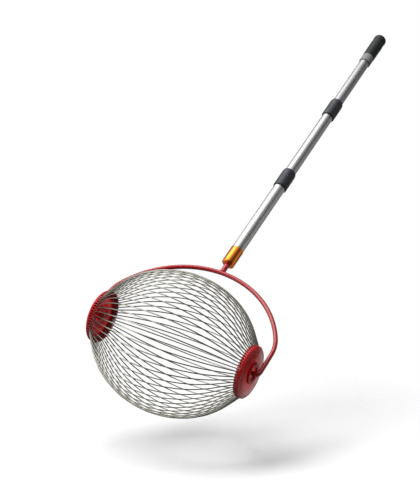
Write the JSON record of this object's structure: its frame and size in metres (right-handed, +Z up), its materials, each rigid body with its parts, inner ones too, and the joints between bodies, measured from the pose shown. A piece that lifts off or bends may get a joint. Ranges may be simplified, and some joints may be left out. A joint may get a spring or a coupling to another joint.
{
  "type": "ball roller collector",
  "caption": "Rolling wire cage for picking up tennis balls, turning between end caps in a bent rod bow on a telescoping pole with twist collars and a rubber grip.",
  "frame": {"origin": "centre of the grip, on the pole's axis, where a hand holds the part", "axes": "+X along the cage axle, +Z up, pole leaning back 45 degrees towards +Y with the cage below and in front"},
  "size_m": [0.3392, 0.7323, 0.7323],
  "materials": {
    "wire_steel": "drawn wire",
    "red_plastic": "moulded, semi-gloss",
    "red_paint": "gloss powder coat",
    "aluminium": "satin anodised",
    "orange_anodised": "orange anodised",
    "black_plastic": "moulded, satin",
    "black_rubber": "matt",
    "grey_rubber": "matt"
  },
  "bodies": {
    "handle": {"upper_tube": "aluminium", "grip_ring": "grey_rubber", "grip": "black_rubber"},
    "middle_section": {"middle_tube": "aluminium"},
    "upper_lock": {"upper_collar": "black_plastic"},
    "lower_section": {"lower_tube": "aluminium", "ferrule": "orange_anodised", "stem": "red_paint", "bow": "red_paint"},
    "lower_lock": {"lower_collar": "black_plastic"},
    "cage": {"wire_pair_01": "wire_steel", "wire_pair_02": "wire_steel", "wire_pair_03": "wire_steel", "wire_pair_04": "wire_steel", "wire_pair_05": "wire_steel", "wire_pair_06": "wire_steel", "wire_pair_07": "wire_steel", "wire_pair_08": "wire_steel", "wire_pair_09": "wire_steel", "wire_pair_10": "wire_steel", "wire_pair_11": "wire_steel", "wire_pair_12": "wire_steel", "wire_pair_13": "wire_steel", "wire_pair_14": "wire_steel", "wire_pair_15": "wire_steel", "wire_pair_16": "wire_steel", "wire_pair_17": "wire_steel", "wire_pair_18": "wire_steel", "wire_pair_19": "wire_steel", "wire_pair_20": "wire_steel", "wire_pair_21": "wire_steel", "wire_pair_22": "wire_steel", "wire_pair_23": "wire_steel", "wire_pair_24": "wire_steel", "wire_pair_25": "wire_steel", "wire_pair_26": "wire_steel", "wire_pair_27": "wire_steel", "wire_pair_28": "wire_steel", "wire_pair_29": "wire_steel", "wire_pair_30": "wire_steel", "right_cap_cover": "red_plastic", "right_hub_disc": "red_plastic", "right_wire_comb": "red_plastic", "left_cap_cover": "red_plastic", "left_hub_disc": "red_plastic", "left_wire_comb": "red_plastic"}
  },
  "joints": [
    {"name": "middle_slide", "type": "slide", "parent": "handle", "child": "middle_section", "axis": [0, -0.7071, -0.7071], "range_m": [-0.1, 0.05]},
    {"name": "upper_collar_twist", "type": "hinge", "parent": "middle_section", "child": "upper_lock", "pos_m": [0, -0.13881, -0.13881], "axis": [0, 0.7071, 0.7071], "range_deg": [0, 90]},
    {"name": "lower_slide", "type": "slide", "parent": "middle_section", "child": "lower_section", "axis": [0, -0.7071, -0.7071], "range_m": [-0.12, 0.05]},
    {"name": "lower_collar_twist", "type": "hinge", "parent": "lower_section", "child": "lower_lock", "pos_m": [0, -0.28313, -0.28313], "axis": [0, 0.7071, 0.7071], "range_deg": [0, 90]},
    {"name": "cage_roll", "type": "hinge", "parent": "lower_section", "child": "cage", "pos_m": [0, -0.57937, -0.57937], "axis": [1, 0, 0], "continuous": true}
  ]
}
